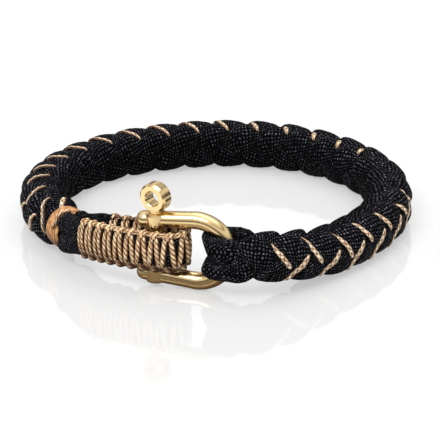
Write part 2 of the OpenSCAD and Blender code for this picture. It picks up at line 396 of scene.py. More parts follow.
@dataclass
class SurfaceEffects:
    """The shader node groups that more than one finish uses, each built once."""

    yarn_end: float = 0.4
    dullest_yarn: float = 0.2
    groove: Pair = (0.1, 0.55)
    noise_detail: float = 3.0

    def __post_init__(self) -> None:
        """Builds the groups."""
        self.plait = self._plait()
        self.yarns = self._yarns()
        self.mottle = self._mottle()

    @staticmethod
    def _open(
        name: str, inputs: dict[str, float], outputs: Sequence[str]
    ) -> tuple[Graph, Sequence[Socket], Sequence[Socket]]:
        """Starts a group.

        Args:
            name: The group's name.
            inputs: Names and defaults of its value inputs.
            outputs: Names of its value outputs.

        Returns:
            The Graph of its tree, the sockets it is given and the sockets it puts out.
        """
        tree = bpy.data.node_groups.new(name, "ShaderNodeTree")
        kind = "NodeSocketFloat"
        for label, default in inputs.items():
            made = tree.interface.new_socket(label, in_out="INPUT", socket_type=kind)
            made.default_value = default
        for label in outputs:
            tree.interface.new_socket(label, in_out="OUTPUT", socket_type=kind)
        graph = Graph(tree)
        return graph, graph.node("NodeGroupInput").outputs, graph.node("NodeGroupOutput").inputs

    def _plait(self) -> bpy.types.NodeTree:
        """Builds the plaited sheath: two families of yarns that cross over and under in a chequer.

        Returns:
            The group, whose Height is the yarns' and whose Shine marks their crests for a painted
            highlight, dulled at random from yarn to yarn.
        """
        inputs = {"Along": 0.0, "Around": 0.0, "Pick": 1.0, "Low": 0.66}
        g, given, out = self._open("plaited_sheath", inputs, ("Height", "Shine"))
        u = g.math("DIVIDE", given["Along"], given["Pick"])
        one = g.math("ADD", u, given["Around"])
        two = g.math("SUBTRACT", u, given["Around"])
        cells = [g.math("FLOOR", v) for v in (one, two)]
        over = g.math("FLOORED_MODULO", g.math("ADD", *cells), 2.0)
        a, b = g.math("FRACT", one), g.math("FRACT", two)
        step = g.math("SUBTRACT", b, a)
        across = g.math("MULTIPLY_ADD", step, over, a)
        lengthways = g.math("SUBTRACT", b, g.math("MULTIPLY", step, over))
        crown, arch = (
            g.math("SINE", g.math("MULTIPLY", v, math.pi)) for v in (across, lengthways)
        )
        belly = g.math("MULTIPLY_ADD", arch, 1.0 - self.yarn_end, self.yarn_end)
        height = g.math("MULTIPLY", crown, belly)
        cell = g.node("ShaderNodeCombineXYZ")
        for socket, value in zip(cell.inputs, cells):
            g.feed(socket, value)
        chance = g.node("ShaderNodeTexWhiteNoise", noise_dimensions="3D")
        g.feed(chance.inputs["Vector"], cell.outputs[0])
        share = 1.0 - self.dullest_yarn
        uneven = g.math("MULTIPLY_ADD", chance.outputs["Value"], share, self.dullest_yarn)
        lit = g.ramp(height, given["Low"], 1.0)
        g.feed(out["Height"], height)
        g.feed(out["Shine"], g.math("MULTIPLY", lit, uneven))
        return g.tree

    def _yarns(self) -> bpy.types.NodeTree:
        """Builds laid yarns: ridges round a cord, with grooves between them that take painted
        shade.

        Returns:
            The group, whose Height is the ridges' and whose Groove is 1 between them.
        """
        inputs = {"Along": 0.0, "Around": 0.0, "Lay": 1.0, "Yarns": 3.0}
        g, given, out = self._open("laid_yarns", inputs, ("Height", "Groove"))
        turn = g.math("MULTIPLY", given["Around"], given["Yarns"])
        wave = g.math("ADD", g.math("DIVIDE", given["Along"], given["Lay"]), turn)
        height = g.math("ABSOLUTE", g.math("SINE", g.math("MULTIPLY", wave, math.pi)))
        g.feed(out["Height"], height)
        g.feed(out["Groove"], g.ramp(height, *self.groove, 1.0, 0.0))
        return g.tree

    def _mottle(self) -> bpy.types.NodeTree:
        """Builds two scales of soft noise on the object's own coordinates.

        Returns:
            The group, whose Patches are the coarse noise and whose Grain is the fine one.
        """
        inputs = {"Coarse": 300.0, "Fine": 2500.0}
        g, given, out = self._open("mottle", inputs, ("Patches", "Grain"))
        place = g.node("ShaderNodeTexCoord").outputs["Object"]
        for scale, label in zip(inputs, ("Patches", "Grain")):
            noise = g.node("ShaderNodeTexNoise")
            g.feed(noise.inputs["Vector"], place)
            g.feed(noise.inputs["Scale"], given[scale])
            g.feed(noise.inputs["Detail"], self.noise_detail)
            g.feed(out[label], noise.outputs["Fac"])
        return g.tree


def new_material(name: str) -> tuple[bpy.types.Material, Graph, bpy.types.Node]:
    """Starts a material.

    Args:
        name: The material's name.

    Returns:
        The material, the Graph of its tree, and its Principled node.
    """
    material = bpy.data.materials.new(name)
    material.use_nodes = True
    graph = Graph(material.node_tree)
    shader = next(n for n in material.node_tree.nodes if n.type == "BSDF_PRINCIPLED")
    return material, graph, shader


@dataclass(frozen=True)
class CordFinish:
    """A cord's finish: its colours, its weave and how that weave stands out.

    The colour on the crests is a painted highlight, and the shade colour is painted shade: it
    covers the grooves, the flanks, the face towards the wrist and what is close to the floor,
    each by its own share. Scaled by ring_scale, the loop's middle line is about 1 from its
    middle. The heights in low are in millimetres over the floor.
    """

    name: str
    weave: Weave
    ground: Triple
    crest_highlight: Triple
    shade: Triple
    pick: float
    yarns: float
    relief: float
    roughness: float
    gloss: float = 0.3
    groove_shade: float = 0.85
    side_shade: float = 0.0
    inner_shade: float = 0.0
    low_shade: float = 0.0
    groove: Pair = (0.05, 0.5)
    flank: Pair = (0.3, 0.95)
    inner: Pair = (0.84, 1.0)
    low: Pair = (3.8, 8.5)
    ring_scale: Triple = (25.4, 27.6, 0.0)
    lit_from: float = 0.66
    patches: Pair = (0.35, 0.65)
    dull_patch: float = 0.3
    patch_scale: float = 900.0
    grain_scale: float = 2500.0
    grain: float = 0.12
    uneven: float = 0.08

    def build(self, effects: SurfaceEffects) -> bpy.types.Material:
        """Builds the material.

        Args:
            effects: The shared node groups.

        Returns:
            The finished material.
        """
        material, g, shader = new_material(self.name)
        strand = g.node("ShaderNodeSeparateXYZ")
        g.feed(strand.inputs[0], g.node("ShaderNodeUVMap", uv_map="strand").outputs[0])
        along, around = strand.outputs[0], strand.outputs[1]
        mottle = g.place(effects.mottle, Coarse=self.patch_scale, Fine=self.grain_scale)
        if self.weave is Weave.PLAITED:
            along = g.math("MULTIPLY_ADD", mottle["Patches"], self.pick, along)
            turns = g.math("MULTIPLY", around, self.yarns)
            sizes = {"Pick": self.pick, "Low": self.lit_from}
            weave = g.place(effects.plait, Along=along, Around=turns, **sizes)
            crest_highlight, dark = weave["Shine"], g.ramp(weave["Height"], *self.groove, 1.0, 0.0)
        else:
            sizes = {"Lay": self.pick, "Yarns": self.yarns}
            weave = g.place(effects.yarns, Along=along, Around=around, **sizes)
            crest_highlight, dark = weave["Height"], weave["Groove"]
        patchy = g.ramp(mottle["Patches"], *self.patches, self.dull_patch, 1.0)
        # Painted highlight: the crest colour goes on the yarns' crests, dulled in random patches.
        colour = g.blend(g.math("MULTIPLY", crest_highlight, patchy), self.ground, self.crest_highlight)
        # Painted shade in the grooves, on the flanks, on the face towards the wrist and low down.
        for share in (g.math("MULTIPLY", dark, self.groove_shade), *self._shaded(g, around)):
            colour = g.blend(share, colour, self.shade)
        g.feed(shader.inputs["Base Color"], colour)
        span = (self.roughness - self.uneven, self.roughness + self.uneven)
        g.feed(shader.inputs["Roughness"], g.ramp(mottle["Grain"], *NOISE_SPAN, *span))
        height = g.math("MULTIPLY_ADD", mottle["Grain"], self.grain, weave["Height"])
        g.bump(shader, height, 1.0, self.relief)
        g.feed(shader.inputs["Specular IOR Level"], self.gloss)
        return material

    def _shaded(self, g: Graph, around: Socket) -> tuple[Socket, Socket, Socket]:
        """Finds where painted shade goes on the cord, by its place.

        Args:
            g: The Graph of the material's tree.
            around: The share of a turn round the cord.

        Returns:
            How much painted shade the flanks, the face towards the wrist and the low parts take.
        """
        wave = g.math("COSINE", g.math("MULTIPLY", around, 4 * math.pi))
        flank = g.ramp(g.math("MULTIPLY_ADD", wave, -0.5, 0.5), *self.flank)
        place = g.node("ShaderNodeTexCoord").outputs["Object"]
        level = g.vector("MULTIPLY", place, self.ring_scale)["Vector"]
        out = g.vector("LENGTH", level)["Value"]
        rise = g.node("ShaderNodeSeparateXYZ")
        g.feed(rise.inputs[0], place)
        start, end = (height * MM for height in self.low)
        return (
            g.math("MULTIPLY", flank, self.side_shade),
            g.ramp(out, *self.inner, self.inner_shade, 0.0),
            g.ramp(rise.outputs[2], start, end, self.low_shade, 0.0),
        )


@dataclass(frozen=True)
class BrassFinish:
    """Polished gold-coloured metal with faint polishing marks."""

    name: str = "polished_brass"
    light: Triple = (0.80, 0.62, 0.33)
    deep: Triple = (0.70, 0.50, 0.24)
    patch_scale: float = 120.0
    grain_scale: float = 4000.0
    roughness: float = 0.2
    uneven: float = 0.04
    mark_strength: float = 0.15
    mark_relief: float = 0.01

    def build(self, effects: SurfaceEffects) -> bpy.types.Material:
        """Builds the material.

        Args:
            effects: The shared node groups.

        Returns:
            The finished material.
        """
        material, g, shader = new_material(self.name)
        mottle = g.place(effects.mottle, Coarse=self.patch_scale, Fine=self.grain_scale)
        colour = g.blend(mottle["Patches"], self.light, self.deep)
        g.feed(shader.inputs["Base Color"], colour)
        span = (self.roughness - self.uneven, self.roughness + self.uneven)
        g.feed(shader.inputs["Roughness"], g.ramp(mottle["Patches"], *NOISE_SPAN, *span))
        g.feed(shader.inputs["Metallic"], 1.0)
        g.bump(shader, mottle["Grain"], self.mark_strength, self.mark_relief)
        return material


@dataclass(frozen=True)
class FloorFinish:
    """A pale, faintly glossy light table that is mirrored with painted shadow close to the shackle.

    Seen directly it takes soft shadows and has a faint painted glow; it throws little light back.
    """

    name: str = "pale_floor"
    colour: Triple = (0.95, 0.95, 0.95)
    dullest: float = 0.985
    patch_scale: float = 8.0
    grain_scale: float = 60.0
    seen: Triple = (0.3, 0.3, 0.3)
    glow: Pair = (0.46, 0.78)
    glow_reach: Pair = (0.1, 0.5)
    # the floor's colour in reflections close to the shackle: painted shadow
    mirrored: Triple = (0.16, 0.12, 0.08)
    bounced: Triple = (0.5, 0.5, 0.5)
    shade_middle: Triple = (-0.007, -0.036, 0.0)
    shade_reach: Pair = (0.012, 0.05)
    roughness: float = 0.06

    def build(self, effects: SurfaceEffects) -> bpy.types.Material:
        """Builds the material.

        Args:
            effects: The shared node groups.

        Returns:
            The finished material.
        """
        material, g, shader = new_material(self.name)
        mottle = g.place(effects.mottle, Coarse=self.patch_scale, Fine=self.grain_scale)
        dull = tuple(self.dullest * c for c in self.colour)
        colour = g.blend(mottle["Patches"], self.colour, dull)
        place = g.node("ShaderNodeTexCoord").outputs["Object"]
        away = g.vector("DISTANCE", place, self.shade_middle)["Value"]
        path = g.node("ShaderNodeLightPath").outputs
        colour = g.blend(path["Is Camera Ray"], colour, self.seen)
        colour = g.blend(path["Is Diffuse Ray"], colour, self.bounced)
        # Painted shadow: close to the shackle, what the brass mirrors of the floor turns to the
        # mirrored colour.
        near = g.ramp(away, *self.shade_reach, 1.0, 0.0)
        mirrored = g.math("MULTIPLY", near, path["Is Glossy Ray"])
        g.feed(shader.inputs["Base Color"], g.blend(mirrored, colour, self.mirrored))
        # Painted glow, seen only directly: it lifts the floor and its shadows and lights nothing
        # else.
        glow = g.ramp(away, *self.glow_reach, *self.glow)
        g.feed(shader.inputs["Emission Color"], (1.0, 1.0, 1.0))
        g.feed(shader.inputs["Emission Strength"], g.math("MULTIPLY", path["Is Camera Ray"], glow))
        g.feed(shader.inputs["Roughness"], self.roughness)
        return material


def add_object(
    name: str, bm: bmesh.types.BMesh, material: bpy.types.Material
) -> bpy.types.Object:
    """Turns a bmesh into an object of the scene, and frees it.

    Args:
        name: The object's name.
        bm: The shape, in metres.
        material: Its material.

    Returns:
        The new object, at the origin.
    """
    mesh = bpy.data.meshes.new(name)
    bm.to_mesh(mesh)
    bm.free()
    mesh.materials.append(material)
    made = bpy.data.objects.new(name, mesh)
    bpy.context.scene.collection.objects.link(made)
    return made


class SweptMesh:
    """A mesh in the making, to which swept cords and their strand coordinates are added."""

    def __init__(self) -> None:
        """Starts an empty bmesh with a UV map for the strand coordinates."""
        self.bm = bmesh.new()
        self.uv = self.bm.loops.layers.uv.new("strand")

    def sweep(self, sections: Sequence[Section], sides: int) -> None:
        """Adds a cord: a grid that is rolled up along cross-sections and closed at both ends.

        Args:
            sections: The cord's cross-sections in order.
            sides: Faces round the cord.
        """
        last = len(sections) - 1
        middles = np.array([c.place for c in sections])
        runs = running_lengths(middles)
        turns = 2 * np.pi * (np.arange(sides + 1) + 0.5) / sides
        across, sideways = np.cos(turns), np.sin(turns)
        rings = []
        for i, c in enumerate(sections):
            along = unit(middles[min(i + 1, last)] - middles[max(i - 1, 0)])
            face = unit(c.facing - np.dot(c.facing, along) * along)
            edge = np.cross(along, face)
            power = 2 / c.fullness
            depths = c.half_depth * np.sign(across) * np.abs(across) ** power
            widths = c.half_width * np.sign(sideways) * np.abs(sideways) ** power
            ring = c.place + np.outer(depths, face) + np.outer(widths, edge)
            ring[:, 2] = np.maximum(ring[:, 2], REST)
            rings.append(ring)
        made = bmesh.ops.create_grid(self.bm, x_segments=last, y_segments=sides, size=1.0)["verts"]
        seat = {}
        for v in made:
            seat[v] = (round((v.co.x + 1) / 2 * last), round((v.co.y + 1) / 2 * sides))
        for face in {f for v in made for f in v.link_faces}:
            face.smooth = True
            for loop in face.loops:
                i, j = seat[loop.vert]
                loop[self.uv].uv = (runs[i], j / sides)
        for v, (i, j) in seat.items():
            v.co = Vector(rings[i][j if j < sides else 0]) * MM
        bmesh.ops.remove_doubles(self.bm, verts=made, dist=WELD)
        rims = [e for e in self.bm.edges if e.is_boundary]
        bmesh.ops.holes_fill(self.bm, edges=rims, sides=0)

    def tree(self) -> BVHTree:
        """Returns a search tree of the mesh so far, in metres."""
        return BVHTree.FromBMesh(self.bm)

    def publish(
        self, name: str, material: bpy.types.Material, slot: str, replaces: Sequence[str] = ()
    ) -> None:
        """Makes the finished object, which rides on the bracelet.

        Args:
            name: The object's name.
            material: Its material.
            slot: The record's material slot; not used.
            replaces: CAD nodes that it stands for.
        """
        bmesh.ops.recalc_face_normals(self.bm, faces=self.bm.faces)
        piece = add_object(name, self.bm, material)
        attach(piece, BODY)
        if replaces:
            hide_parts(*replaces)
        log.info("%s: %d faces", name, len(piece.data.polygons))


@dataclass
class Braid:
    """Two cords that fold round the bow and run on as a four-strand round braid.

    Each value of slide is a length from the bow and how far the pattern has slid there, as a
    share of half its lead.
    """

    route: Route
    radius: float = 3.0
    wave: float = 0.95
    lead: float = 14.7
    lag: float = 9.0
    starts: Pair = (45.0, 225.0)
    crossings: Pair = (45.0, 135.0)
    first_turn: float = 90.0
    top_width: float = 7.1
    under_width: float = 4.6
    top_depth: float = 3.4
    under_depth: float = 2.6
    fullness: float = 2.35
    slide: tuple[Pair, ...] = (
        (0, -0.2), (9, -0.31), (17, -0.23), (25, -0.02), (48, 0.0), (54, -0.1), (77, 0.27),
        (100, 0.32), (137, 0.47), (152, 0.5), (159, 0.4), (165, 0.26), (172, 0.1), (187, 0.05),
    )
    fold_levels: Pair = (-2.85, 2.0)
    fold_heights: Pair = (4.1, 5.8)
    fold_depth: float = 2.3
    fold_fullness: float = 3.6
    fold_lean: float = 0.65
    least_level: float = 2.4
    bar: float = 3.8
    gap: float = 0.15
    bow_rise: float = 7.15
    fold_clearance: float = 0.46
    neck: float = 4.6
    squeeze_length: float = 3.8
    whipping_length: float = 4.0
    whipping_bore: float = 4.0
    end_short: float = 1.2
    ring_step: float = 0.5
    sides: int = 28
    fold_rings: int = 14

    def over(self, hand: int) -> float:
        """Returns the angle round the braid where a strand of that hand lies on top."""
        return self.crossings[hand > 0]

    def slid(self, s: float) -> float:
        """Returns how far the pattern has slid along the braid at a length from the bow."""
        runs, shares = zip(*self.slide)
        return self.lead / 2 * float(np.interp(s, runs, shares))

    def strand_angle(self, s: float, hand: int, start: float) -> float:
        """Finds where a strand is round the braid.

        Args:
            s: Length from the bow.
            hand: 1 or -1, the way the strand turns.
            start: Its angle at the bow.

        Returns:
            Its angle, 0 outwards and 90 upwards.
        """
        turn = 360.0 * (s - self.slid(s)) / self.lead
        raw = start - turn if hand < 0 else start + max(turn, self.first_turn)
        return raw - self.lag * math.sin(math.radians(2 * (raw - self.over(hand))))

    def squeeze(self, s: float) -> float:
        """Finds how much the braid narrows as it runs into the whipping.

        Args:
            s: Length from the bow.

        Returns:
            The share of its size that it keeps.
        """
        full = self.radius + self.wave + self.top_depth / 2
        inside = (self.whipping_bore - self.gap) / full
        before = self.route.whipping - self.whipping_length / 2 - s
        return mix(1.0, inside, smoothstep(1 - before / self.squeeze_length))

    def row(self, s: float, hand: int, start: float, side: int, level: int) -> Section:
        """Works out the cross-section of one strand.

        Args:
            s: Length from the bow.
            hand: 1 or -1, the way the strand turns.
            start: Its angle round the braid at the bow.
            side: 1 on the bow's outer side, -1 on its inner side.
            level: 1 for the upper cord, -1 for the lower one.

        Returns:
            The cross-section.
        """
        angle = self.strand_angle(s, hand, start)
        over = 0.5 + 0.5 * math.cos(math.radians(2 * (angle - self.over(hand))))
        r = self.radius + self.wave * (2 * over - 1)
        w = smoothstep(s / self.neck)
        q = self.squeeze(s)
        fold_side = side * (self.bar / 2 + self.gap + self.fold_depth / 2)
        out = mix(fold_side, r * math.cos(math.radians(angle)), w) * q
        up = mix(self.fold_levels[level > 0], r * math.sin(math.radians(angle)), w) * q
        home = 0.0 if side > 0 else 180.0
        width = mix(self.under_width, self.top_width, over)
        depth = mix(self.under_depth, self.top_depth, over)
        return Section(
            self.route.beside(s, out, up),
            self.route.aside(s, mix(home, nearest_turn(angle, home), w)),
            mix(self.fold_heights[level > 0], width, w) * q / 2,
            mix(self.fold_depth, depth, w) * q / 2,
            mix(self.fold_fullness, self.fullness, w),
        )

    def fold(self, level: int) -> list[Section]:
        """Works out one cord's fold round the bow.

        Args:
            level: 1 for the upper cord, -1 for the lower one.

        Returns:
            Its cross-sections, from the bow's inner side to its outer side.
        """
        back = self.route.shackle_axis()
        side = self.route.outward(0.0)
        level_up = self.fold_levels[level > 0]
        half_height = self.fold_heights[level > 0] / 2
        inside = self.bow_rise - self.bar / 2
        lean = math.asin(max(abs(level_up), self.least_level) / inside)
        set_back = inside * (1 - math.cos(lean)) + self.fold_clearance
        middle = self.route.beside(0.0, 0.0, level_up) - set_back * back
        reach = self.bar / 2 + self.gap + self.fold_depth / 2
        rows = []
        for i in range(1, self.fold_rings):
            a = math.pi * i / self.fold_rings
            out = unit(-math.cos(a) * side - math.sin(a) * back)
            facing = out - level * self.fold_lean * math.tan(lean) * math.sin(a) * UP
            place = middle + reach * out
            sizes = (half_height, self.fold_depth / 2, self.fold_fullness)
            rows.append(Section(place, facing, *sizes))
        return rows

    def cord(self, start: float, level: int) -> SweptMesh:
        """Sweeps one whole cord: one half of each hand, joined by the fold.

        Args:
            start: Angle round the braid at which both halves start.
            level: 1 for the upper cord, -1 for the lower one.

        Returns:
            The cord's mesh in the making.
        """
        end = self.route.whipping - self.end_short
        runs = np.linspace(0.0, end, int(end / self.ring_step) + 1)
        rows = [self.row(s, level, start, -1, level) for s in runs[::-1]]
        rows += self.fold(level)
        rows += [self.row(s, -level, start, 1, level) for s in runs]
        mesh = SweptMesh()
        mesh.sweep(rows, self.sides)
        return mesh

    def build(self, material: bpy.types.Material) -> list[BVHTree]:
        """Builds both cords.

        Args:
            material: The black cord's material.

        Returns:
            A search tree of each cord, for what lies on them.
        """
        trees = []
        for node, start, level in zip(("upper_cord", "lower_cord"), self.starts, (1, -1)):
            mesh = self.cord(start, level)
            trees.append(mesh.tree())
            mesh.publish(f"braid_{node}", material, "black_cord", [node])
        return trees


@dataclass
class AccentCord:
    """The thin gold cord that shows between the braid's strands, on the outer face and the top.

    Each value of falling_span is a length from the bow and the angles round the braid where a
    falling length starts and ends there.
    """

    braid: Braid
    width: float = 1.35
    rising_width: float = 1.7
    thickness: float = 0.62
    falling_slope: float = -22.0
    falling_middle: float = 45.0
    rising_slope: float = 14.0
    rising_middle: float = -10.0
    rising_shift: float = 0.5
    falling_span: tuple[Triple, ...] = (
        (0, 58, -10), (10, 58, -12), (17, 84, -6), (26, 80, -16), (33, 76, 6), (41, 68, 6),
        (48, 46, 10), (54, 57, 12), (60, 44, -10), (73, 44, -10), (77, 106, 88), (84, 118, 98),
        (91, 119, 98), (99, 114, 90), (107, 116, 84), (114, 116, 62), (122, 124, 40),
        (138, 126, 40), (152, 114, 60), (159, 112, 60), (165, 105, 56), (172, 111, 46),
        (179, 99, 34), (187, 88, -26),
    )
    rising_span: Pair = (28.0, -54.0)
    margin: float = 5.0
    first_run: float = 6.0
    last_run: float = 192.5
    by_whipping: tuple[Pair, Pair] = ((188.6, 112), (191.6, 84))
    proud: float = 0.18
    dip: float = 0.15
    tuck: float = 0.7
    tuck_share: float = 0.14
    first_end: Pair = (0.4, 0.4)
    last_end: Pair = (0.7, 0.3)
    missed: float = 5.0
    smoothing: int = 7
    rings: int = 26
    sides: int = 10

    def falling(self, number: int) -> list[Pair]:
        """Lays out one visible length that falls outwards.

        Args:
            number: The strand crossing it lies by, counted from the bow.

        Returns:
            Pairs of length from the bow and angle round the braid.
        """
        centre = self.braid.lead / 2 * (number - 0.5)
        centre += self.braid.slid(centre)
        runs, high, low = zip(*self.falling_span)
        first = np.interp(centre, runs, high) + self.margin
        last = np.interp(centre, runs, low) - self.margin
        angles = np.linspace(first, last, self.rings)
        return [(centre + (a - self.falling_middle) / self.falling_slope, a) for a in angles]

    def rising(self, number: int) -> list[Pair]:
        """Lays out one visible length on the outer face, from its thin upper end.

        Args:
            number: The strand crossing it lies by, counted from the bow.

        Returns:
            Pairs of length from the bow and angle round the braid.
        """
        centre = self.braid.lead / 2 * number
        centre += self.braid.slid(centre) + self.rising_shift
        angles = np.linspace(*self.rising_span, self.rings)
        return [(centre + (a - self.rising_middle) / self.rising_slope, a) for a in angles]

    def build(self, trees: Sequence[BVHTree], material: bpy.types.Material) -> None:
        """Lays every visible length on the braid's surface.

        Args:
            trees: Search trees of the braided cords.
            material: The accent cord's material.
        """
        mesh = SweptMesh()
        crossings = int(2 * self.braid.route.whipping / self.braid.lead)
        for number in range(1, crossings + 1):
            falling, rising = self.falling(number), self.rising(number)
            for pairs, width in ((falling, self.width), (rising, self.rising_width)):
                runs = [s for s, _ in pairs]
                if min(runs) > self.first_run and max(runs) < self.last_run:
                    mesh.sweep(self._rows(pairs, trees, width), self.sides)
        last = np.linspace(*self.by_whipping, self.rings)
        mesh.sweep(self._rows([tuple(pair) for pair in last], trees, self.width), self.sides)
        mesh.publish("accent_cord", material, "gold_cord")

    def _rows(
        self, pairs: Sequence[Pair], trees: Sequence[BVHTree], width: float
    ) -> list[Section]:
        """Finds the cross-sections of one length, which sinks between the strands at both ends.

        Args:
            pairs: Lengths from the bow and angles round the braid.
            trees: Search trees of the braided cords.
            width: Width of the cord where it is widest.

        Returns:
            The cross-sections in order.
        """
        route = self.braid.route
        reaches = [route.surface(s, angle, trees, self.missed) for s, angle in pairs]
        padded = np.pad(reaches, self.smoothing // 2, mode="edge")
        smooth = np.convolve(padded, np.ones(self.smoothing) / self.smoothing, mode="valid")
        rows = []
        n = len(pairs)
        for k, (s, angle) in enumerate(pairs):
            end = min(k, n - 1 - k) / (n - 1)
            sink = self.tuck * (1 - smoothstep(end / self.tuck_share))
            least, share = self.first_end if k < n / 2 else self.last_end
            swell = mix(least, 1.0, smoothstep(end / share))
            way = route.aside(s, angle)
            reach = max(smooth[k], reaches[k] - self.dip) + self.proud - sink
            place = route.beside(s, 0.0, 0.0) + reach * way
            rows.append(Section(place, way, width * swell / 2, self.thickness * swell / 2))
        return rows


@dataclass
class Whipping:
    """The band of wound thread that binds the braid to the eye.

    Each of the tails is how far ahead of the band's rim it starts and its first and last
    angles round the braid.
    """

    route: Route
    length: float = 4.2
    radius: float = 4.35
    bore: float = 3.7
    threads: int = 7
    thread_points: int = 4
    thread_swell: float = 0.2
    crown: float = 0.2
    rim: float = 0.08
    rim_drop: float = 0.35
    steps: int = 72
    weld: float = 1e-7
    tails: tuple[Triple, ...] = ((0.1, 84.0, 16.0), (1.0, 74.0, 28.0))
    tail_cord: float = 1.2
    tail_flat: float = 0.8
    tail_tip: float = 0.4
    tail_start: float = 0.2
    tail_slant: float = 0.9
    tail_rise: float = 0.3
    tail_rings: int = 17
    tail_sides: int = 8

    def _profile(self) -> list[Pair]:
        """Works out the band's ribbed profile.

        Returns:
            Pairs of length from the band's middle and radius, in order along it.
        """
        points = [(-self.length / 2, self.bore)]
        count = self.threads * self.thread_points
        for k in range(count + 1):
            t = k / count
            edge = smoothstep(min(t, 1 - t) / self.rim)
            ripple = self.thread_swell * abs(hump(self.threads * t))
            r = self.radius + self.crown * (1 - (2 * t - 1) ** 2) + ripple
            points.append((self.length * (t - 0.5), r - self.rim_drop * (1 - edge)))
        points.append((self.length / 2, self.bore))
        return points

    def build(self, material: bpy.types.Material) -> None:
        """Spins the ribbed profile round the braid.

        Args:
            material: The wound thread's material.
        """
        mesh = SweptMesh()
        bm = mesh.bm
        axis = self.route.ahead(self.route.whipping)
        centre = self.route.beside(self.route.whipping, 0.0, 0.0)
        verts = [bm.verts.new(Vector(centre + x * axis + r * UP) * MM) for x, r in self._profile()]
        edges = [bm.edges.new(ends) for ends in zip(verts, verts[1:] + verts[:1])]
        bmesh.ops.spin(
            bm, geom=verts + edges, cent=Vector(centre) * MM, axis=Vector(axis),
            angle=2 * math.pi, steps=self.steps, use_merge=True,
        )
        bmesh.ops.remove_doubles(bm, verts=bm.verts, dist=self.weld)
        side = self.route.outward(self.route.whipping)
        for face in bm.faces:
            face.smooth = True
            for loop in face.loops:
                p = np.array(loop.vert.co) / MM - centre
                turn = math.atan2(float(np.dot(p, UP)), float(np.dot(p, side)))
                loop[mesh.uv].uv = (float(np.dot(p, axis)), turn / (2 * math.pi))
        mesh.publish("thread_whipping", material, "gold_thread", ["whipping"])

    def build_tails(self, trees: Sequence[BVHTree], material: bpy.types.Material) -> None:
        """Lays the two short cord ends that come from under the band's front rim.

        Args:
            trees: Search trees of what they lie on.
            material: The gold cord's material.
        """
        mesh = SweptMesh()
        route = self.route
        for ahead, first, last in self.tails:
            rows = []
            for w in np.linspace(0.0, 1.0, self.tail_rings):
                s = route.whipping + self.length / 2 + ahead - self.tail_slant * w
                angle = mix(first, last, w)
                reach = max(route.surface(s, angle, trees, 0.0), self.radius + self.crown)
                swell = hump(self.tail_start + (1.0 - self.tail_start) * w)
                thick = self.tail_cord / 2 * mix(self.tail_tip, 1.0, swell)
                way = route.aside(s, angle)
                place = route.beside(s, 0.0, 0.0) + (reach + self.tail_rise) * way
                rows.append(Section(place, way, thick, thick * self.tail_flat))
            mesh.sweep(rows, self.tail_sides)
        mesh.publish("whipping_tails", material, "gold_cord")


@dataclass
class EyePath:
    """The middle line of the eye's band: along the front leg, round past the pin and back.

    The legs lie leg_side from the slot's middle and bound_side inside the whipping. A span is
    how far from the path's start, or before the pin, a change starts and how long it takes.
    """

    route: Route
    start_past: float = 0.5
    end_past: float = 3.1
    leg_side: float = 3.25
    bound_side: float = 1.8
    parting_span: Pair = (1.6, 9.0)
    back_sag: float = 1.0
    sag_span: Pair = (0.4, 4.0)
    sag_end_span: Pair = (1.5, 10.0)
    lift: float = 0.35
    lift_length: float = 12.0
    leg_steps: int = 90
    turn_steps: int = 24

    def __post_init__(self) -> None:
        """Samples the path."""
        route = self.route
        self.start = route.whipping + self.start_past
        end = route.pin + self.end_past
        rows = [self._leg(s, 1) for s in np.linspace(self.start, end, self.leg_steps)]
        for k in range(1, self.turn_steps):
            a = math.pi * k / self.turn_steps
            out = math.cos(a) * route.outward(end) + math.sin(a) * route.ahead(end)
            rows.append((route.beside(end, 0.0, self.lift) + self.leg_side * out, out))
        rows += [self._leg(s, -1) for s in np.linspace(end, self.start, self.leg_steps)]
        self.places, self.facings = (np.array(column) for column in zip(*rows))
        self.lengths = running_lengths(self.places)
        self.total = float(self.lengths[-1])

    def _leg(self, s: float, side: int) -> tuple[np.ndarray, np.ndarray]:
        """Finds a point of one leg.

        Args:
            s: Length from the bow.
            side: 1 for the front leg, -1 for the back one.

        Returns:
            The point and the way the band's outer face points there.
        """
        past = s - self.start
        start, length = self.parting_span
        reach = mix(self.bound_side, self.leg_side, smoothstep((past - start) / length))
        level = self.lift * smoothstep(past / self.lift_length)
        if side < 0:
            start, length = self.sag_span
            before, end_length = self.sag_end_span
            fall = self.back_sag * smoothstep((past - start) / length)
            level -= fall * smoothstep((self.route.pin - before - s) / end_length)
        return self.route.beside(s, side * reach, level), side * self.route.aside(s, 0.0)

    def at(self, t: float) -> tuple[np.ndarray, np.ndarray]:
        """Returns the middle and the facing at a length along the path."""
        facing = unit(value_at(self.facings, self.lengths, t))
        return value_at(self.places, self.lengths, t), facing


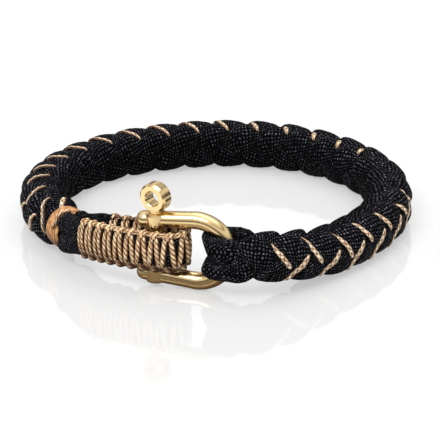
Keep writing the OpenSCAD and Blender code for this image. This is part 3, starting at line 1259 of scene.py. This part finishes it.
@dataclass
class HitchedEye:
    """The doubled eye cord and the gold cord that is hitched round it.

    Sizes in pairs are a height and a depth, and a span is where a change starts and how long
    it takes. The hitches stand close together at the first pitch and spread to the last one,
    where their two cords also part more.
    """

    route: Route
    hitched_front: float = 15.4
    hitched_back: float = 13.2
    cord_level: float = 2.0
    core_size: Pair = (4.4, 1.5)
    bound_size: Pair = (3.5, 3.2)
    full_size: Pair = (5.1, 4.4)
    bare_size: Pair = (4.8, 2.8)
    bare_level: float = 0.42
    baring_span: Pair = (1.0, 1.6)
    freeing_span: Pair = (0.8, 1.3)
    slimming_span: Pair = (3.0, 5.0)
    cord_fullness: float = 2.3
    cord_rings: int = 200
    cord_sides: int = 16
    band_size: Pair = (8.7, 2.9)
    band_powers: Pair = (0.8, 0.6)
    least_depth: float = 0.4
    hitch_cord: float = 1.2
    hitch_flat: float = 0.92
    slim_hitch: float = 0.76
    first_hitch: float = 2.05
    last_hitch: float = 0.4
    first_pitch: float = 2.0
    last_pitch: float = 2.95
    widening_hitches: int = 7
    hitch_angle: float = 78.0
    hitch_rise: float = 0.15
    hitch_belly: Pair = (0.72, 1.12)
    belly_pace: float = 1.15
    belly_stop: float = 0.9
    hitch_together: float = 0.9
    parting_from: float = 0.15
    wide_parting: float = 0.4
    tight_parting: float = 0.22
    bow: float = 0.8
    hitch_rings: int = 15
    hitch_sides: int = 10
    rope_cord: float = 0.95
    rope_swell: Pair = (0.6, 1.35)
    rope_swing: float = 0.34
    rope_flat: float = 0.8
    rope_phase: float = 0.6
    rope_out: float = 0.45
    rope_lean: float = 0.6
    rope_drop: float = 0.35
    rope_overrun: float = 0.45
    rope_rings: int = 12
    rope_sides: int = 8
    bead: float = 0.88
    bead_flat: float = 0.85
    bead_tip: float = 0.4
    bead_rise: float = 0.4
    bead_slant: float = 1.0
    bead_middle: float = 76.0
    bead_reach: float = 26.0
    bead_rings: int = 9

    def __post_init__(self) -> None:
        """Samples the eye's path and finds where the hitching starts and ends on it."""
        pin = self.route.pin
        self.path = EyePath(self.route)
        self.first = pin - self.hitched_front - self.path.start
        self.last = self.path.total - (pin - self.hitched_back - self.path.start)

    def _core(self, t: float, level: int) -> Section:
        """Works out a cross-section of the eye cord: flat inside the hitching, full outside it.

        Args:
            t: Length along the eye's path.
            level: 1 for the upper cord, -1 for the lower one.

        Returns:
            The cross-section.
        """
        place, facing = self.path.at(t)
        inside, length = self.baring_span
        bare = max(
            smoothstep((self.first + inside - t) / length),
            smoothstep((t - self.last + inside) / length),
        )
        near = min(t, self.path.total - t)
        free, slim = (
            smoothstep((near - start) / run)
            for start, run in (self.freeing_span, self.slimming_span)
        )
        core, bound, full, thin = (
            np.array(size)
            for size in (self.core_size, self.bound_size, self.full_size, self.bare_size)
        )
        loose = mix(bound, mix(full, thin, slim), free)
        height, depth = mix(core, loose, bare)
        up = level * mix(self.cord_level, loose[0] * self.bare_level, bare)
        return Section(place + up * UP, facing, height / 2, depth / 2, self.cord_fullness)

    def build_cords(self, material: bpy.types.Material) -> BVHTree:
        """Sweeps the upper and the lower cord of the eye.

        Args:
            material: The black cord's material.

        Returns:
            A search tree of both cords.
        """
        mesh = SweptMesh()
        for level in (-1, 1):
            runs = np.linspace(0.0, self.path.total, self.cord_rings)
            mesh.sweep([self._core(t, level) for t in runs], self.cord_sides)
        tree = mesh.tree()
        mesh.publish("eye_cords", material, "black_cord", ["eye_cord"])
        return tree

    def hitch_places(self) -> list[Pair]:
        """Spaces the hitches along the eye's path.

        Returns:
            Each hitch's place along the path and its pitch.
        """
        places = []
        t = self.first + self.first_hitch
        while t < self.last - self.last_hitch:
            widened = min(len(places) / self.widening_hitches, 1.0)
            pitch = mix(self.first_pitch, self.last_pitch, widened)
            places.append((t, pitch))
            t += pitch
        return places

    def on_band(self, t: float, angle: float, proud: float) -> tuple[np.ndarray, np.ndarray]:
        """Finds a point on the oval of the hitched band.

        Args:
            t: Length along the eye's path.
            angle: Angle round the band: 0 is the outer face, 90 the top.
            proud: How far outside the oval the point lies.

        Returns:
            The point and the way out of the band.
        """
        place, facing = self.path.at(t)
        a = math.radians(angle)
        half_h, half_d = ((size - self.hitch_cord) / 2 for size in self.band_size)
        power_h, power_d = self.band_powers
        c, s = math.cos(a), math.sin(a)
        aside = math.copysign(abs(c) ** power_d, c) * half_d
        rise = math.copysign(abs(s) ** power_h, s) * half_h
        out = unit(c * facing / max(half_d, self.least_depth) + s * UP / half_h)
        return place + aside * facing + rise * UP + proud * out, out

    def _rope(self, places: Sequence[Pair], level: int, strand: int) -> list[Section]:
        """Works out one of the two cords that twist along the top or the bottom of the band.

        Args:
            places: The hitches' places and pitches; the cords cross once at each.
            level: 1 along the top, -1 along the bottom.
            strand: 0 or 1.

        Returns:
            The cord's cross-sections in order.
        """
        knots = [t for t, _ in places]
        count = len(knots)
        before, after = 2 * knots[0] - knots[1], 2 * knots[-1] - knots[-2]
        over = self.rope_overrun
        way_up = self.band_size[0] / 2 - self.rope_drop
        rows = []
        for k in np.linspace(-over, count - 1 + over, self.rope_rings * count):
            t = float(np.interp(k, range(-1, count + 1), [before, *knots, after]))
            place, facing = self.path.at(t)
            twist = math.pi * (k + strand) + self.rope_phase
            aside = self.rope_out + math.cos(twist) * self.rope_swing
            rise = way_up + math.sin(twist) * self.rope_swing * self.rope_flat
            place = place + aside * facing + level * rise * UP
            knot = 0.5 + 0.5 * math.cos(2 * math.pi * k)
            thick = self.rope_cord / 2 * mix(*self.rope_swell, knot)
            rows.append(Section(place, unit(UP * level + self.rope_lean * facing), thick, thick))
        return rows

    def _bead(self, t: float, level: int) -> list[Section]:
        """Works out the knot that a hitch makes over the band's top or bottom edge.

        Args:
            t: The hitch's place along the eye's path.
            level: 1 at the top, -1 at the bottom.

        Returns:
            The knot's cross-sections in order.
        """
        rows = []
        for w in np.linspace(0.0, 1.0, self.bead_rings):
            angle = level * (self.bead_middle + self.bead_reach * (2 * w - 1))
            place, out = self.on_band(t + self.bead_slant * (w - 0.5), angle, self.bead_rise)
            thick = self.bead * mix(self.bead_tip, 1.0, hump(w))
            rows.append(Section(place, out, thick, thick * self.bead_flat))
        return rows

    def _strand(self, t: float, pitch: float, face: int, way: int) -> list[Section]:
        """Works out one of a hitch's two cords down one face of the band.

        Args:
            t: The hitch's place along the eye's path.
            pitch: Its distance from the next one.
            face: 0 for the outer face, 1 for the inner one.
            way: -1 for the first cord along the path, 1 for the second.

        Returns:
            The cord's cross-sections from the top down.
        """
        tight = smoothstep((self.last_pitch - pitch) / (self.last_pitch - self.first_pitch))
        bow = self.bow * tight * (1 - face)
        r = self.hitch_cord / 2 * mix(1.0, self.slim_hitch, tight)
        parted = mix(self.wide_parting, self.tight_parting, tight) * pitch
        rows = []
        for w in np.linspace(0.0, 1.0, self.hitch_rings):
            angle = mix(self.hitch_angle, -self.hitch_angle, w)
            if face:
                angle = 180.0 - angle
            lower = smoothstep((w - self.parting_from) / (1.0 - self.parting_from))
            spread = mix(self.hitch_together * r, parted, lower)
            belly = hump(min(w * self.belly_pace, 1.0) * self.belly_stop)
            thick = r * mix(*self.hitch_belly, belly)
            along = t + way * spread - bow * hump(w)
            place, out = self.on_band(along, angle, self.hitch_rise * hump(w))
            rows.append(Section(place, out, thick, thick * self.hitch_flat))
        return rows

    def build_hitches(self, material: bpy.types.Material) -> None:
        """Lays the hitches, their knots and the twisted cords that join the knots.

        Args:
            material: The gold cord's material.
        """
        mesh = SweptMesh()
        places = self.hitch_places()
        for t, pitch in places:
            for face in (0, 1):
                for way in (-1, 1):
                    mesh.sweep(self._strand(t, pitch, face, way), self.hitch_sides)
            for level in (1, -1):
                mesh.sweep(self._bead(t, level), self.hitch_sides)
        for level in (1, -1):
            for strand in (0, 1):
                mesh.sweep(self._rope(places, level, strand), self.rope_sides)
        mesh.publish("eye_hitches", material, "gold_cord", ["eye_hitching"])


@dataclass(frozen=True)
class SoftLight:
    """A soft rectangular light that faces the bracelet, in metres and watts."""

    name: str
    place: Triple
    size: Pair
    power: float
    aim: Triple = (0.0, 0.0, 0.01)

    def build(self) -> None:
        """Adds the light."""
        data = bpy.data.lights.new(self.name, "AREA")
        data.shape = "RECTANGLE"
        data.size, data.size_y = self.size
        data.energy = self.power
        light = bpy.data.objects.new(self.name, data)
        light.location = self.place
        way = Vector(self.aim) - Vector(self.place)
        light.rotation_euler = way.to_track_quat("-Z", "Y").to_euler()
        bpy.context.scene.collection.objects.link(light)


@dataclass
class Studio:
    """The camera at the photograph's angle, a plain floor and soft lights.

    The surroundings are even and pale, but are mirrored with a dark horizon and a thin dark
    band: dome and horizon are their strengths as mirrored, soft and seen as lit and as seen.
    """

    target: Triple = (0.85, 2.75, 0.0)
    elevation: float = 24.0
    distance: float = 690.0
    lens: float = 246.9
    sensor: float = 36.0
    clip: Pair = (0.01, 50.0)
    floor_size: float = 3.0
    horizon: float = 0.05
    horizon_span: Pair = (0.12, 0.4)
    dome: float = 1.05
    band_middle: float = 0.62
    band_span: Pair = (0.02, 0.09)
    band_share: float = 0.25
    seen: float = 1.0
    soft: float = 1.05
    lights: tuple[SoftLight, ...] = (
        SoftLight("key", (-0.3, -0.5, 0.7), (0.5, 0.3), 4.4),
        SoftLight("top", (0.15, 0.15, 0.8), (0.9, 0.5), 2.2),
    )

    def build_camera(self) -> None:
        """Places the camera and makes it the scene's own."""
        data = bpy.data.cameras.new("photo_camera")
        data.lens = self.lens
        data.sensor_width = self.sensor
        data.clip_start, data.clip_end = self.clip
        camera = bpy.data.objects.new("photo_camera", data)
        bpy.context.scene.collection.objects.link(camera)
        rise = math.radians(self.elevation)
        away = Vector((0.0, -math.cos(rise), math.sin(rise))) * self.distance
        camera.location = (Vector(self.target) + away) * MM
        camera.rotation_euler = (math.pi / 2 - rise, 0.0, 0.0)
        bpy.context.scene.camera = camera

    def build_floor(self, material: bpy.types.Material) -> None:
        """Lays the floor.

        Args:
            material: The floor's material.
        """
        bm = bmesh.new()
        bmesh.ops.create_grid(bm, x_segments=2, y_segments=2, size=self.floor_size / 2)
        floor = add_object("floor", bm, material)

    def build_world(self) -> None:
        """Adds the surroundings."""
        world = bpy.data.worlds.new("surroundings")
        world.use_nodes = True
        g = Graph(world.node_tree)
        background = next(n for n in world.node_tree.nodes if n.type == "BACKGROUND")
        split = g.node("ShaderNodeSeparateXYZ")
        g.feed(split.inputs[0], g.node("ShaderNodeTexCoord").outputs["Generated"])
        dome = g.ramp(split.outputs[2], *self.horizon_span, self.horizon, self.dome)
        off = g.math("ABSOLUTE", g.math("SUBTRACT", split.outputs[2], self.band_middle))
        dome = g.math("MULTIPLY", dome, g.ramp(off, *self.band_span, self.band_share, 1.0))
        path = g.node("ShaderNodeLightPath").outputs
        plain = g.math("MULTIPLY_ADD", path["Is Camera Ray"], self.seen - self.soft, self.soft)
        change = g.math("SUBTRACT", dome, plain)
        strength = g.math("MULTIPLY_ADD", path["Is Glossy Ray"], change, plain)
        g.feed(background.inputs["Color"], (1.0, 1.0, 1.0))
        g.feed(background.inputs["Strength"], strength)
        bpy.context.scene.world = world

    def build_lights(self) -> None:
        """Adds the lights and the surroundings."""
        for light in self.lights:
            light.build()
        self.build_world()
        bpy.context.scene.view_settings.view_transform = "Standard"


BLACK_CORD = CordFinish(
    "black_plaited_cord", Weave.PLAITED,
    ground=(0.003, 0.003, 0.004), crest_highlight=(0.19, 0.19, 0.215), shade=(0.001, 0.001, 0.0012),
    pick=0.86, yarns=20.0, relief=0.12, roughness=0.5, gloss=0.006, inner_shade=0.62,
    patches=(0.42, 0.6),
)
GOLD_CORD = CordFinish(
    "gold_laid_cord", Weave.LAID,
    ground=(0.34, 0.14, 0.055), crest_highlight=(1.0, 0.75, 0.45), shade=(0.035, 0.010, 0.004),
    pick=1.2, yarns=3.0, relief=0.2, roughness=0.52, gloss=0.2, side_shade=0.92, low_shade=0.8,
)
ACCENT_CORD = CordFinish(
    "gold_plaited_cord", Weave.PLAITED,
    ground=(0.52, 0.32, 0.17), crest_highlight=(1.0, 0.93, 0.74), shade=(0.04, 0.013, 0.006),
    pick=1.5, yarns=3.0, relief=0.14, roughness=0.5, side_shade=0.95, lit_from=0.25,
    patches=(0.25, 0.45),
)
THREAD = CordFinish(
    "orange_gold_thread", Weave.WOUND,
    ground=(0.25, 0.085, 0.022), crest_highlight=(0.95, 0.52, 0.22), shade=(0.035, 0.010, 0.004),
    pick=0.6, yarns=0.0, relief=0.1, roughness=0.5, low_shade=0.6,
)


def main() -> None:
    """Builds the bracelet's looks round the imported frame."""
    logging.basicConfig(level=logging.INFO, format="%(name)s: %(message)s")
    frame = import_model()
    effects = SurfaceEffects()
    finishes = (BLACK_CORD, GOLD_CORD, ACCENT_CORD, THREAD, BrassFinish(), FloorFinish())
    black, gold, accent, thread, brass, pale = (finish.build(effects) for finish in finishes)

    route = Route()
    braid = Braid(route)
    trees = braid.build(black)
    AccentCord(braid).build(trees, accent)
    whipping = Whipping(route)
    whipping.build(thread)
    eye = HitchedEye(route)
    whipping.build_tails([eye.build_cords(black)], gold)
    eye.build_hitches(gold)
    for node in ("shackle", "shackle_pin"):
        metal = frame["nodes"][node]
        metal.data.materials.clear()
        metal.data.materials.append(brass)
        log.info("%s: polished brass", node)

    studio = Studio()
    studio.build_camera()
    studio.build_floor(pale)
    studio.build_lights()


if __name__ == "__main__":
    main()
